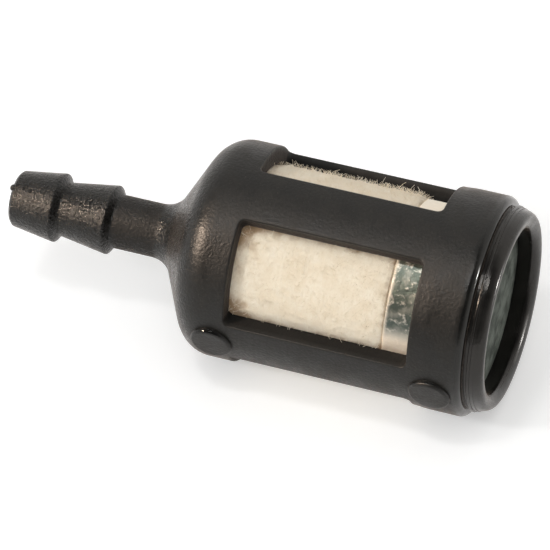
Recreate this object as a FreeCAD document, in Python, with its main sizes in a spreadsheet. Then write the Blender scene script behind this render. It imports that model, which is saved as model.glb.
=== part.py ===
"""Weighted felt pick-up filter for the fuel tank of a small engine.

Millimetres. +X runs from the hose tip to the weighted end, +Z is up, and the origin is the
centre of the hose tip's mouth. The filter lies on its side, as it does on a bench.
"""
import FreeCAD, Part
import os

import Sketcher
from FreeCAD import Placement, Rotation, Vector

DRIVING = (
    # hose stem
    ("bore_radius", 1.25, "outlet bore"),
    ("tip_radius", 2.05, "end face of the hose tip"),
    ("tip_chamfer", 0.2, "lead-in chamfer of the tip"),
    ("barb_radius", 2.8, "crest of a barb"),
    ("first_barb_distance", 3.7, "mouth to the first crest"),
    ("barb_pitch", 4.45, "crest to crest"),
    ("barb_back", 0.4, "length of the slope behind a crest"),
    ("barb_rounding", 0.16, "rounding of a crest"),
    ("neck_radius", 2.17, "stem behind each barb"),
    # bell-shaped shoulder
    ("body_radius", 8.7, "outside of the cage"),
    ("shoulder_distance", 16.75, "mouth to where the flank would meet the cage"),
    ("flank_angle", 62.0, "slope of the bell from the axis, degrees"),
    ("neck_fillet", 2.3, "hollow curve from neck to bell"),
    ("shoulder_fillet", 2.7, "round of the shoulder"),
    # cage
    ("cage_wall", 1.5, "wall round the chamber"),
    ("felt_seat_distance", 18.7, "mouth to the chamber's floor"),
    ("window_inset", 1.7, "chamber floor to the windows"),
    ("window_length", 14.75, "windows along the axis"),
    ("window_count", 4, "windows round the cage"),
    ("window_angle", 59.4, "each window round the axis, degrees"),
    ("window_roll", 60.0, "first window's middle from the top, degrees"),
    ("window_corner", 0.6, "rounding of a window's corners"),
    ("collar_length", 4.35, "windows to the open end"),
    ("collar_rounding", 0.35, "outer edge of the open end"),
    # ejector pads on one rib
    ("pad_radius", 1.7, "pad"),
    ("pad_height", 0.4, "pad above the cage"),
    ("pad_rounding", 0.22, "edge of a pad"),
    ("front_pad_gap", 1.05, "front pad's middle to the windows"),
    ("rear_pad_gap", 1.9, "windows to the rear pad's middle"),
    # support core and its screen
    ("core_radius", 2.6, "outside of the core"),
    ("core_wall", 0.9, "wall of the core"),
    ("socket_depth", 3.0, "core's socket in the shoulder"),
    ("core_plug", 1.2, "core's closed end, held in the weight"),
    ("drain_radius", 0.7, "drain hole in the core"),
    ("drain_rows", 5, "rows of drain holes"),
    ("drain_pitch", 2.4, "row to row"),
    ("screen_thickness", 0.25, "woven screen"),
    # felt, weight and end ring
    ("felt_length", 14.0, "felt sleeve"),
    ("weight_chamfer", 0.35, "edges of the weight"),
    ("weight_inset", 0.1, "weight's rear face inside the open end"),
    ("skirt_length", 1.5, "ring's skirt inside the cage"),
    ("skirt_wall", 0.5, "ring's skirt"),
    ("ring_length", 1.95, "ring outside the cage"),
    ("seam_width", 0.3, "groove beside the open end"),
    ("seam_depth", 0.45, "groove beside the open end"),
    ("ridge_width", 0.25, "ring's thin flange"),
    ("ridge_step", 0.15, "flange below the cage's outside"),
    ("notch_width", 0.14, "groove between flange and lip"),
    ("notch_depth", 0.75, "groove between flange and lip"),
    ("lip_step", 0.5, "lip below the cage's outside"),
    ("lip_inner_rounding", 0.4, "mouth of the lip"),
    ("lip_flat", 0.05, "flat left on the lip's front"),
    ("weight_overlap", 0.55, "how far the lip covers the weight"),
    # clearances
    ("sleeve_clearance", 0.05, "felt and weight in the chamber, ring in its seat"),
    ("core_clearance", 0.03, "core in its socket, screen and felt"),
    ("plug_clearance", 0.1, "core's end in the weight, lengthwise"),
)

WORKED_OUT = (
    ("chamber_radius", "Dims.body_radius - Dims.cage_wall"),
    ("neck_end", "Dims.shoulder_distance - (Dims.body_radius - Dims.neck_radius) / tan(Dims.flank_angle)"),
    ("second_barb", "Dims.first_barb_distance + Dims.barb_pitch"),
    ("window_start", "Dims.felt_seat_distance + Dims.window_inset"),
    ("window_end", "Places.window_start + Dims.window_length"),
    ("open_end", "Places.window_end + Dims.collar_length"),
    ("rib_angle", "Dims.window_roll + 180 / Dims.window_count"),
    ("pad_root", "Places.chamber_radius + Dims.cage_wall / 2"),
    ("socket_floor", "Dims.felt_seat_distance - Dims.socket_depth"),
    ("socket_radius", "Dims.core_radius + Dims.core_clearance"),
    ("screen_inner", "Dims.core_radius + Dims.core_clearance"),
    ("screen_outer", "Places.screen_inner + Dims.screen_thickness"),
    ("felt_inner", "Places.screen_outer + Dims.core_clearance"),
    ("felt_outer", "Places.chamber_radius - Dims.sleeve_clearance"),
    ("felt_end", "Dims.felt_seat_distance + Dims.felt_length"),
    ("core_end", "Places.felt_end + Dims.core_plug"),
    ("weight_hole_end", "Places.core_end + Dims.plug_clearance"),
    ("weight_end", "Places.open_end - Dims.weight_inset"),
    ("skirt_outer", "Places.chamber_radius + Dims.skirt_wall"),
    ("counterbore_radius", "Places.skirt_outer + Dims.sleeve_clearance"),
    ("skirt_start", "Places.open_end - Dims.skirt_length"),
    ("counterbore_floor", "Places.skirt_start - Dims.sleeve_clearance"),
    ("seam_end", "Places.open_end + Dims.seam_width"),
    ("ridge_end", "Places.seam_end + Dims.ridge_width"),
    ("lip_start", "Places.ridge_end + Dims.notch_width"),
    ("ring_end", "Places.open_end + Dims.ring_length"),
    ("lip_radius", "Dims.body_radius - Dims.lip_step"),
    ("ring_hole_radius", "Places.felt_outer - Dims.weight_overlap"),
    ("lip_width", "Places.lip_radius - Places.ring_hole_radius"),
    ("lip_outer_rounding", "Places.lip_width - Dims.lip_inner_rounding - Dims.lip_flat"),
    ("drain_run", "(Dims.drain_rows - 1) * Dims.drain_pitch"),
    ("drain_start", "Dims.felt_seat_distance + (Dims.felt_length - Places.drain_run) / 2"),
)

SAME = 1e-4     # two lengths closer than this are equal

os.makedirs("parts", exist_ok=True)
doc = FreeCAD.newDocument("FuelFilter")


# ---------------------------------------------------------------- sizes

def make_sheet():
    """One row for each driving dimension: what it is, its value and its alias."""
    sheet = doc.addObject("Spreadsheet::Sheet", "Dims")
    for row, (alias, number, meaning) in enumerate(DRIVING, start=1):
        sheet.set(f"A{row}", meaning)
        sheet.set(f"B{row}", str(number))
        sheet.setAlias(f"B{row}", alias)
    doc.recompute()
    return sheet


def make_places():
    """Radii and stations that follow from the driving dimensions."""
    places = doc.addObject("App::VarSet", "Places")
    for name, expression in WORKED_OUT:
        places.addProperty("App::PropertyFloat", name)
        places.setExpression(name, expression)
    doc.recompute()
    return places


def value(expression):
    """The number that an expression gives now."""
    return float(sheet.evalExpression(expression))


# ---------------------------------------------------------------- drawing

def new_body(name):
    body = doc.addObject("PartDesign::Body", name)
    body.Label = name
    return body


def origin_feature(body, role):
    """A plane or axis of the body's own origin."""
    return next(feature for feature in body.Origin.OriginFeatures if feature.Role == role)


def new_sketch(body, plane_role, name):
    sketch = body.newObject("Sketcher::SketchObject", name)
    sketch.AttachmentSupport = [(origin_feature(body, plane_role), "")]
    sketch.MapMode = "FlatFace"
    return sketch


def bind(sketch, kind, start, end, expression):
    """Hold the distance from start to end, each a geometry and point number, at an expression."""
    number = sketch.addConstraint(Sketcher.Constraint(kind, *start, *end, value(expression)))
    sketch.setExpression(f"Constraints[{number}]", expression)


def draw_outline(sketch, corners):
    """Closed outline through corners, each a pair of expressions for its two coordinates."""
    points = [Vector(value(across), value(up)) for across, up in corners]
    count = len(points)
    for index in range(count):
        sketch.addGeometry(Part.LineSegment(points[index], points[(index + 1) % count]))
    for index in range(count):
        sketch.addConstraint(Sketcher.Constraint("Coincident", index, 2, (index + 1) % count, 1))
    for index, (across, up) in enumerate(corners):
        bind(sketch, "DistanceX", (-1, 1), (index, 1), across)
        bind(sketch, "DistanceY", (-1, 1), (index, 1), up)


def draw_circle(sketch, across, up, radius):
    """Circle with its centre and radius given by expressions."""
    centre = Vector(value(across), value(up))
    circle = sketch.addGeometry(Part.Circle(centre, Vector(0, 0, 1), value(radius)))
    bind(sketch, "DistanceX", (-1, 1), (circle, 3), across)
    bind(sketch, "DistanceY", (-1, 1), (circle, 3), up)
    number = sketch.addConstraint(Sketcher.Constraint("Radius", circle, value(radius)))
    sketch.setExpression(f"Constraints[{number}]", radius)


def revolve(body, name, corners):
    """Turn a section, drawn as stations along X and radii, round the X axis."""
    sketch = new_sketch(body, "XY_Plane", name + "Section")
    draw_outline(sketch, corners)
    revolution = body.newObject("PartDesign::Revolution", name)
    revolution.Profile = sketch
    revolution.ReferenceAxis = (sketch, ["H_Axis"])
    revolution.Angle = 360
    doc.recompute()
    return revolution


def turned_edges(shape, station, radius):
    """Names of the circular edges round the X axis at a station and radius."""
    middle = Vector(value(station), 0, 0)
    names = []
    for number, edge in enumerate(shape.Edges, start=1):
        if edge.Curve.TypeId != "Part::GeomCircle":
            continue
        same_middle = edge.Curve.Center.distanceToPoint(middle) < SAME
        same_radius = abs(edge.Curve.Radius - value(radius)) < SAME
        if same_middle and same_radius:
            names.append(f"Edge{number}")
    return names


def dress(body, kind, name, edges, size_name, size):
    """Fillet or chamfer the named edges of the body's last feature."""
    if not edges:
        raise RuntimeError(f"{body.Label}: no edge found for {name}")
    base = body.Tip
    feature = body.newObject(kind, name)
    feature.Base = (base, edges)
    feature.setExpression(size_name, size)
    doc.recompute()
    return feature


def fillet_turned(body, name, station, radius, size):
    edges = turned_edges(body.Tip.Shape, station, radius)
    return dress(body, "PartDesign::Fillet", name, edges, "Radius", size)


def chamfer_turned(body, name, station, radius, size):
    edges = turned_edges(body.Tip.Shape, station, radius)
    return dress(body, "PartDesign::Chamfer", name, edges, "Size", size)


def cut_from(body, sketch, name, **settings):
    """Pocket a sketch out of the body and make sure that it removed material."""
    before = body.Tip.Shape.Volume
    pocket = body.newObject("PartDesign::Pocket", name)
    pocket.Profile = sketch
    for setting, chosen in settings.items():
        setattr(pocket, setting, chosen)
    doc.recompute()
    if pocket.Shape.Volume > before - SAME:
        raise RuntimeError(f"{name} removes nothing")
    return pocket


def repeat_round(body, original, name, angle, copies):
    """Repeat a feature round the X axis; angle and copies are expressions."""
    pattern = body.newObject("PartDesign::PolarPattern", name)
    pattern.Originals = [original]
    pattern.Axis = (origin_feature(body, "X_Axis"), [""])
    pattern.setExpression("Angle", angle)
    pattern.setExpression("Occurrences", copies)
    body.Tip = pattern
    doc.recompute()
    return pattern


# ---------------------------------------------------------------- sub-parts

def make_housing():
    """Moulded stem, bell and cage in one piece: bored through, with windows and pads."""
    body = new_body("housing")
    revolve(body, "Turned", housing_section())
    for number, crest in enumerate(("Dims.first_barb_distance", "Places.second_barb"), start=1):
        fillet_turned(body, f"BarbCrest{number}", crest, "Dims.barb_radius", "Dims.barb_rounding")
    fillet_turned(body, "NeckCurve", "Places.neck_end", "Dims.neck_radius", "Dims.neck_fillet")
    fillet_turned(body, "ShoulderRound", "Dims.shoulder_distance", "Dims.body_radius",
                  "Dims.shoulder_fillet")
    fillet_turned(body, "CollarRound", "Places.open_end", "Dims.body_radius", "Dims.collar_rounding")
    cut_windows(body)
    raise_pads(body)
    return body


def housing_section():
    """Half section of the housing: the outside from tip to open end, then the inside back."""
    def barb(crest):
        return [
            (crest, "Dims.barb_radius"),
            (f"{crest} + Dims.barb_back", "Dims.neck_radius"),
        ]

    outside = [
        ("0", "Dims.bore_radius"),
        ("0", "Dims.tip_radius"),
        ("Dims.tip_chamfer", "Dims.tip_radius + Dims.tip_chamfer"),
        *barb("Dims.first_barb_distance"),
        *barb("Places.second_barb"),
        ("Places.neck_end", "Dims.neck_radius"),
        ("Dims.shoulder_distance", "Dims.body_radius"),
        ("Places.open_end", "Dims.body_radius"),
    ]
    inside = [
        ("Places.open_end", "Places.counterbore_radius"),
        ("Places.counterbore_floor", "Places.counterbore_radius"),
        ("Places.counterbore_floor", "Places.chamber_radius"),
        ("Dims.felt_seat_distance", "Places.chamber_radius"),
        ("Dims.felt_seat_distance", "Places.socket_radius"),
        ("Places.socket_floor", "Places.socket_radius"),
        ("Places.socket_floor", "Dims.bore_radius"),
    ]
    return outside + inside


def cut_windows(body):
    """Windows with radial side walls, spaced evenly round the cage, with rounded corners."""
    reach = "(2 * Dims.body_radius)"
    half_width = f"{reach} * tan(Dims.window_angle / 2)"
    sketch = new_sketch(body, "YZ_Plane", "WindowSector")
    sketch.AttachmentOffset = Placement(Vector(0, 0, 1), Rotation(Vector(0, 0, 1), 1))
    sketch.setExpression("AttachmentOffset.Base.z", "Places.window_start")
    sketch.setExpression("AttachmentOffset.Rotation.Angle", "Dims.window_roll")
    draw_outline(sketch, [("0", "0"), (half_width, reach), (f"-{half_width}", reach)])
    window = cut_from(body, sketch, "Window", Reversed=True, Length=value("Dims.window_length"))
    window.setExpression("Length", "Dims.window_length")
    repeat_round(body, window, "Windows", "360", "Dims.window_count")
    dress(body, "PartDesign::Fillet", "WindowCorners", window_corner_edges(body.Tip.Shape),
          "Radius", "Dims.window_corner")


def window_corner_edges(shape):
    """Names of the straight edges that cross the cage wall, square to the axis."""
    names = []
    for number, edge in enumerate(shape.Edges, start=1):
        if edge.Curve.TypeId != "Part::GeomLine":
            continue
        across = abs(edge.Curve.Direction.x) < SAME
        station = edge.CenterOfMass.x
        at_start = abs(station - value("Places.window_start")) < SAME
        at_end = abs(station - value("Places.window_end")) < SAME
        if across and (at_start or at_end):
            names.append(f"Edge{number}")
    return names


def raise_pads(body):
    """Two round ejector pads on one rib, one on the shoulder and one on the end collar."""
    sketch = new_sketch(body, "XY_Plane", "PadCircles")
    sketch.AttachmentOffset = Placement(Vector(0, 1, 1), Rotation(Vector(1, 0, 0), 1))
    sketch.setExpression("AttachmentOffset.Base.y", "-sin(Places.rib_angle) * Places.pad_root")
    sketch.setExpression("AttachmentOffset.Base.z", "cos(Places.rib_angle) * Places.pad_root")
    sketch.setExpression("AttachmentOffset.Rotation.Angle", "Places.rib_angle")
    draw_circle(sketch, "Places.window_start - Dims.front_pad_gap", "0", "Dims.pad_radius")
    draw_circle(sketch, "Places.window_end + Dims.rear_pad_gap", "0", "Dims.pad_radius")
    pads = body.newObject("PartDesign::Pad", "Pads")
    pads.Profile = sketch
    pads.setExpression("Length", "Dims.body_radius + Dims.pad_height - Places.pad_root")
    doc.recompute()
    rims = [f"Edge{number}" for number, edge in enumerate(pads.Shape.Edges, start=1) if is_pad_rim(edge)]
    dress(body, "PartDesign::Fillet", "PadRims", rims, "Radius", "Dims.pad_rounding")


def is_pad_rim(edge):
    """True for the edge round the face of a pad."""
    if edge.Curve.TypeId != "Part::GeomCircle" or abs(edge.Curve.Radius - value("Dims.pad_radius")) > SAME:
        return False
    height = Vector(0, edge.Curve.Center.y, edge.Curve.Center.z).Length
    return abs(height - value("Dims.body_radius + Dims.pad_height")) < SAME


def make_support_core():
    """Tube with a closed end that keeps the felt from collapsing, drained by rows of holes."""
    body = new_body("support_core")
    revolve(body, "Tube", [
        ("Places.socket_floor", "Dims.core_radius - Dims.core_wall"),
        ("Places.socket_floor", "Dims.core_radius"),
        ("Places.core_end", "Dims.core_radius"),
        ("Places.core_end", "0"),
        ("Places.felt_end", "0"),
        ("Places.felt_end", "Dims.core_radius - Dims.core_wall"),
    ])
    sketch = new_sketch(body, "XY_Plane", "DrainCircles")
    for row in range(int(value("Dims.drain_rows"))):
        draw_circle(sketch, f"Places.drain_start + {row} * Dims.drain_pitch", "0", "Dims.drain_radius")
    drains = cut_from(body, sketch, "Drains", Type="ThroughAll", Midplane=True)
    repeat_round(body, drains, "CrossDrains", "90", "2")
    return body


def make_core_screen():
    """Woven screen round the core, the last stage before the outlet."""
    body = new_body("core_screen")
    revolve(body, "Sleeve", [
        ("Dims.felt_seat_distance", "Places.screen_inner"),
        ("Dims.felt_seat_distance", "Places.screen_outer"),
        ("Places.felt_end", "Places.screen_outer"),
        ("Places.felt_end", "Places.screen_inner"),
    ])
    return body


def make_felt_sleeve():
    """Thick felt sleeve between the shoulder and the weight."""
    body = new_body("felt_sleeve")
    revolve(body, "Felt", [
        ("Dims.felt_seat_distance", "Places.felt_inner"),
        ("Dims.felt_seat_distance", "Places.felt_outer"),
        ("Places.felt_end", "Places.felt_outer"),
        ("Places.felt_end", "Places.felt_inner"),
    ])
    return body


def make_weight():
    """Steel slug that keeps the pick-up at the bottom of the tank and centres the core."""
    body = new_body("weight")
    revolve(body, "Slug", [
        ("Places.felt_end", "Places.socket_radius"),
        ("Places.felt_end", "Places.felt_outer"),
        ("Places.weight_end", "Places.felt_outer"),
        ("Places.weight_end", "0"),
        ("Places.weight_hole_end", "0"),
        ("Places.weight_hole_end", "Places.socket_radius"),
    ])
    for name, station in (("FrontBevel", "Places.felt_end"), ("RearBevel", "Places.weight_end")):
        chamfer_turned(body, name, station, "Places.felt_outer", "Dims.weight_chamfer")
    return body


def make_end_ring():
    """Ring that closes the cage: skirt round the weight, thin flange and rolled lip."""
    body = new_body("end_ring")
    seam_radius = "Dims.body_radius - Dims.seam_depth"
    ridge_radius = "Dims.body_radius - Dims.ridge_step"
    notch_radius = "Dims.body_radius - Dims.notch_depth"
    revolve(body, "Ring", [
        ("Places.skirt_start", "Places.chamber_radius"),
        ("Places.skirt_start", "Places.skirt_outer"),
        ("Places.open_end", "Places.skirt_outer"),
        ("Places.open_end", seam_radius),
        ("Places.seam_end", seam_radius),
        ("Places.seam_end", ridge_radius),
        ("Places.ridge_end", ridge_radius),
        ("Places.ridge_end", notch_radius),
        ("Places.lip_start", notch_radius),
        ("Places.lip_start", "Places.lip_radius"),
        ("Places.ring_end", "Places.lip_radius"),
        ("Places.ring_end", "Places.ring_hole_radius"),
        ("Places.weight_end", "Places.ring_hole_radius"),
        ("Places.weight_end", "Places.chamber_radius"),
    ])
    fillet_turned(body, "LipOutside", "Places.ring_end", "Places.lip_radius", "Places.lip_outer_rounding")
    fillet_turned(body, "LipMouth", "Places.ring_end", "Places.ring_hole_radius", "Dims.lip_inner_rounding")
    return body


# ---------------------------------------------------------------- build and write

def check_document():
    """Stop if any object of the document failed to compute."""
    for item in doc.Objects:
        if "Invalid" in item.State or "Error" in item.State:
            raise RuntimeError(f"{item.Label} failed: {item.State}")


def write_step(body):
    shape = body.Shape
    if shape.isNull() or not shape.isValid() or len(shape.Solids) != 1:
        raise RuntimeError(f"{body.Label} is not one valid solid")
    shape.exportStep(f"parts/{body.Label}.step")
    print(f"{body.Label}: {shape.Volume:.1f} mm3, x {shape.BoundBox.XMin:.2f} to {shape.BoundBox.XMax:.2f}")


sheet = make_sheet()
make_places()
bodies = [
    make_housing(),
    make_support_core(),
    make_core_screen(),
    make_felt_sleeve(),
    make_weight(),
    make_end_ring(),
]
doc.recompute()
check_document()
for finished in bodies:
    write_step(finished)
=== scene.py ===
"""Looks of a weighted felt pick-up filter, laid out as an add-on.

The packed part is the frame: metres, +X from the hose tip to the weighted end, +Z up. Each
operator dresses one piece, and the last one sets the stage.
"""

import math

import bmesh
import bpy
import numpy as np
from bpy.props import FloatProperty, FloatVectorProperty, IntProperty, PointerProperty
from mathutils import Matrix, Vector, noise


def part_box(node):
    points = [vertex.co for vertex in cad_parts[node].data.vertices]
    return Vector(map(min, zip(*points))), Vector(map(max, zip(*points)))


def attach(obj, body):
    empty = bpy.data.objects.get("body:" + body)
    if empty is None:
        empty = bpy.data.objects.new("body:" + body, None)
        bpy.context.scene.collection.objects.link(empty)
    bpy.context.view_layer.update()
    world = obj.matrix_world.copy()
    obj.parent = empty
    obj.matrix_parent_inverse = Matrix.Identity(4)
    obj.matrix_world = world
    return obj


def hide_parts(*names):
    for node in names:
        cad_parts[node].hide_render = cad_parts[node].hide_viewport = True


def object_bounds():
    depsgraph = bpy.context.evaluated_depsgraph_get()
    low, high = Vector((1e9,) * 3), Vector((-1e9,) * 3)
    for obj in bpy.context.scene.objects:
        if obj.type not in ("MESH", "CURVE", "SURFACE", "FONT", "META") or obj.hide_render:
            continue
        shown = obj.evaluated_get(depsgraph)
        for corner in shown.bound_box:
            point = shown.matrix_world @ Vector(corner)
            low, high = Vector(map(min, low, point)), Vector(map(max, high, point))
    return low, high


bl_info = {
    "name": "Felt pick-up filter",
    "version": (1, 0, 0),
    "blender": (4, 5, 0),
    "location": "3D View > Sidebar > Filter",
    "description": "Dresses the packed solids of a felt pick-up filter",
    "category": "Object",
}

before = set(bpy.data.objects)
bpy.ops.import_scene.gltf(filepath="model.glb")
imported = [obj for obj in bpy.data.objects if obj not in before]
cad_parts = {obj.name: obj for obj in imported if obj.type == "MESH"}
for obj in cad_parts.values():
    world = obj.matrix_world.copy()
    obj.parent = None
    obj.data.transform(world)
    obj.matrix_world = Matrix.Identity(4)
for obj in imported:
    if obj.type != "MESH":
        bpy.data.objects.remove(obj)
CAD_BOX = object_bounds()
MM = 0.001
BODY = "root"
SECTORS = 4                     # windows, and ribs, round the cage
STEPS_PER_SECTOR = 36           # mesh columns from one rib's middle to the next
SECTOR = math.tau / SECTORS
CORE_CLEARANCE = 0.03 * MM      # round the core in its socket and in the slug


def box_of(node):
    """(first station, last station, outer radius) of a turned node, in metres."""
    low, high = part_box(node)
    return low.x, high.x, high.z


TIP, OPEN_END, CAGE_RADIUS = box_of("housing")
FELT_START, FELT_END, FELT_RADIUS = box_of("felt_sleeve")
SLUG_START, SLUG_END, SLUG_RADIUS = box_of("weight")
RING_START = box_of("end_ring")[0]
SCREEN_START, SCREEN_END, SCREEN_RADIUS = box_of("core_screen")
CORE_START, CORE_END, CORE_RADIUS = box_of("support_core")


# ---------------------------------------------------------------- settings

def length(name, description, millimetres):
    return FloatProperty(name=name, description=description, default=millimetres * MM,
                         min=0.0, precision=5, subtype="DISTANCE", unit="LENGTH")


def angle(name, description, degrees):
    return FloatProperty(name=name, description=description, default=math.radians(degrees),
                         subtype="ANGLE", unit="ROTATION")


def colour(name, description, *rgb):
    return FloatVectorProperty(name=name, description=description, default=rgb, size=3,
                               min=0.0, max=1.0, subtype="COLOR")


def factor(name, description, default):
    return FloatProperty(name=name, description=description, default=default,
                         min=0.0, max=1.0, subtype="FACTOR")


class HousingSettings(bpy.types.PropertyGroup):
    """Stem, bell and cage."""
    bore: length("Outlet bore", "Radius of the bore through the stem", 1.25)
    barb: length("Barb", "Radius at a barb's crest", 2.8)
    neck: length("Neck", "Radius of the stem behind each barb", 2.17)
    crest_rounding: length("Crest rounding", "Rounding of a barb's crest", 0.15)
    shoulder: length("Shoulder", "Station where the bell would meet the cage", 16.75)
    flank: angle("Flank", "Slope of the bell from the axis", 62.0)
    wall: length("Cage wall", "Thickness of the cage", 1.5)
    window_start: length("Window start", "Station where the windows begin", 20.4)
    window_end: length("Window end", "Station where the windows end", 35.15)
    window_span: angle("Window span", "Angle that each window takes", 59.4)
    window_corner: length("Window corner", "Rounding of a window's corners", 0.5)
    window_edge: length("Window edge", "Rounding of a window's outer edge", 0.13)
    first_window: angle("First window", "Middle of the first window, from the front upwards", 30.0)
    pad: length("Pad", "Radius of an ejector pad", 1.7)
    pad_height: length("Pad height", "Pad above the cage", 0.3)
    flare: length("Flare", "How far the collar spreads beyond the cage", 0.08)
    nib: length("Gate nib", "Radius of the moulding nib left on the tip's rim", 0.27)
    nylon: colour("Nylon", "Colour of the moulded nylon", 0.0058, 0.0060, 0.0056)
    gloss: factor("Roughness", "Roughness of the moulded nylon", 0.34)


class RingSettings(bpy.types.PropertyGroup):
    """End ring with its flange and rolled lip."""
    skirt: length("Skirt", "Outer radius of the skirt", 7.7)
    groove: length("Groove", "Radius at the bottom of the groove beside the cage", 7.95)
    ridge: length("Ridge", "Radius of the thin flange beside the groove", 8.22)
    notch: length("Notch", "Radius at the bottom of the notch beside the lip", 7.75)
    lip: length("Lip", "Outer radius of the lip", 8.1)
    crest: length("Crest", "Radius of the lip's crest", 7.5)
    crest_end: length("Crest station", "Station of the lip's crest", 41.17)
    roll: length("Roll", "Length of the lip's outer curve along the axis", 1.4)
    roll_in: length("Inner roll", "Length of the lip's inner curve along the axis", 0.55)
    mouth: length("Mouth", "Radius of the opening in the lip", 6.6)
    lean: length("Lean", "Rise and fall of the rolled lip from side to side", 0.2)
    nylon: colour("Nylon", "Colour of the ring", 0.0070, 0.0066, 0.0060)
    gloss: factor("Roughness", "Roughness of the ring", 0.18)


class FeltSettings(bpy.types.PropertyGroup):
    """Felt sleeve and its loose fibres."""
    bore: length("Bore", "Radius of the sleeve's bore", 2.91)
    nap: length("Nap", "Depth of the felt's uneven surface", 0.06)
    fibre_density: FloatProperty(name="Nap density", description="Short fibres per square metre",
                                 default=3.4e7, min=0.0)
    fibre_length: length("Fibre", "Length of a short fibre", 0.48)
    stray_density: FloatProperty(name="Stray density", description="Long fibres per square metre",
                                 default=3.0e5, min=0.0)
    stray_length: length("Stray fibre", "Length of a long fibre", 1.05)
    seed: IntProperty(name="Seed", description="Seed for the fibres", default=7)
    wool: colour("Felt", "Colour of the felt", 0.905, 0.82, 0.675)
    # The stain colour also paints the shade along each window's start.
    stain_and_shade: colour("Stain", "Colour where fuel has stained the felt", 0.33, 0.19, 0.085)


class CoreSettings(bpy.types.PropertyGroup):
    """Support core and the woven screen round it."""
    nylon: colour("Core", "Natural nylon of the support core", 0.70, 0.69, 0.64)
    weave: colour("Weave", "Nylon thread of the screen", 0.75, 0.75, 0.72)
    thread: length("Thread", "Diameter of the screen's thread", 0.11)
    pitch: length("Mesh pitch", "Thread to thread in the screen", 0.42)


class WeightSettings(bpy.types.PropertyGroup):
    """Plated steel slug."""
    bevel: length("Bevel", "Bevel of the slug's edges", 0.13)
    face_step: length("Face step", "How far the end face stands beyond the packed solid", 0.2)
    zinc: colour("Zinc", "Colour of the plating", 0.84, 0.79, 0.70)
    chromate: colour("Chromate", "Darker passivated patches", 0.092, 0.112, 0.098)
    face: colour("Face", "Dull grey-green of the slug's end face", 0.082, 0.090, 0.079)


class StageSettings(bpy.types.PropertyGroup):
    """Floor, light and camera."""
    azimuth: angle("Azimuth", "Camera's direction round the filter", 18.892)
    elevation: angle("Elevation", "Camera above the horizon", 42.836)
    distance: length("Distance", "Camera to the point that it looks at", 314.42)
    lens: FloatProperty(name="Lens", description="Focal length in millimetres on a 36 mm sensor",
                        default=261.8, unit="CAMERA")
    paper: colour("Paper", "Colour of the floor", 0.88, 0.88, 0.88)


# ---------------------------------------------------------------- mesh helpers

def clamped(value):
    return min(1.0, max(0.0, value))


def distance_from_axis(co):
    return math.hypot(co.y, co.z)


def rounded(corners, steps=8):
    """Polyline through corners, each (station, radius, rounding), with arcs at rounded ones."""
    points = []
    count = len(corners)
    for index, (x, r, rounding) in enumerate(corners):
        corner = np.array((x, r))
        if rounding <= 0:
            points.append(corner)
            continue
        back = np.array(corners[index - 1][:2]) - corner
        ahead = np.array(corners[(index + 1) % count][:2]) - corner
        back /= np.linalg.norm(back)
        ahead /= np.linalg.norm(ahead)
        half = math.acos(np.clip(back @ ahead, -1, 1)) / 2
        middle = (back + ahead) / np.linalg.norm(back + ahead)
        centre = corner + middle * rounding / math.sin(half)
        start = corner + back * rounding / math.tan(half) - centre
        end = corner + ahead * rounding / math.tan(half) - centre
        turn = math.pi - 2 * half
        for step in range(steps + 1):
            part = step / steps
            weight_start = math.sin((1 - part) * turn) / math.sin(turn)
            weight_end = math.sin(part * turn) / math.sin(turn)
            points.append(centre + weight_start * start + weight_end * end)
    return np.array(points)


def divided(points, longest, closed=False):
    """The polyline with its long runs divided."""
    if closed:
        points = np.vstack([points, points[:1]])
    parts = [points[:1]]
    for start, end in zip(points[:-1], points[1:]):
        pieces = max(1, math.ceil(np.linalg.norm(end - start) / longest))
        parts.append(start + (end - start) * np.arange(1, pieces + 1)[:, None] / pieces)
    line = np.vstack(parts)
    return line[:-1] if closed else line


def around(x, r, a):
    """Points at station x and radius r, at an angle a from the front (-Y) upwards."""
    x, r, a = np.broadcast_arrays(x, r, a)
    return np.stack([x, -r * np.cos(a), r * np.sin(a)], axis=-1)


class Shell:
    """Vertices and quads that collect the strips of one surface."""

    def __init__(self):
        self.rows = []
        self.quads = []
        self.count = 0

    def strip(self, rows):
        """Quads between neighbouring rows of points. Each row is a ring."""
        rows = np.asarray(rows)
        height, width = rows.shape[:2]
        near = self.count + np.arange(height * width).reshape(height, width)
        following = np.roll(near, -1, axis=1)
        self.quads.append(np.stack([near[:-1], following[:-1], following[1:], near[1:]], -1).reshape(-1, 4))
        self.rows.append(rows.reshape(-1, 3))
        self.count += height * width

    def lathe(self, outline, angles):
        """Turn an outline of stations and radii round the axis."""
        self.strip([around(x, r, angles) for x, r in outline])

    def finish(self, name, sharp=40.0):
        """A closed object with its doubles merged and its faces pointing outwards."""
        mesh = bpy.data.meshes.new(name)
        mesh.from_pydata(np.vstack(self.rows).tolist(), [], np.vstack(self.quads).tolist())
        form = bmesh.new()
        form.from_mesh(mesh)
        bmesh.ops.remove_doubles(form, verts=form.verts, dist=2e-7)
        bmesh.ops.dissolve_degenerate(form, edges=form.edges, dist=1e-8)
        bmesh.ops.recalc_face_normals(form, faces=form.faces)
        form.to_mesh(mesh)
        form.free()
        smooth(mesh, sharp)
        return linked(name, mesh)


def smooth(mesh, sharp):
    """Smooth the mesh except where its faces meet at more than the sharp angle, in degrees."""
    mesh.shade_smooth()
    mesh.set_sharp_from_angle(angle=math.radians(sharp))


def linked(name, data):
    """A new object in the scene."""
    piece = bpy.data.objects.new(name, data)
    bpy.context.scene.collection.objects.link(piece)
    return piece


def push(piece, depth):
    """Move each vertex along its normal by the depth that its place gives."""
    vertices = piece.data.vertices
    normals = [vertex.normal.copy() for vertex in vertices]
    for vertex, normal in zip(vertices, normals):
        vertex.co += normal * depth(vertex.co)


def mark(piece, name, values):
    """Give the piece's vertices their values of a named attribute."""
    piece.data.attributes.new(name, "FLOAT", "POINT").data.foreach_set("value", values)


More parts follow.
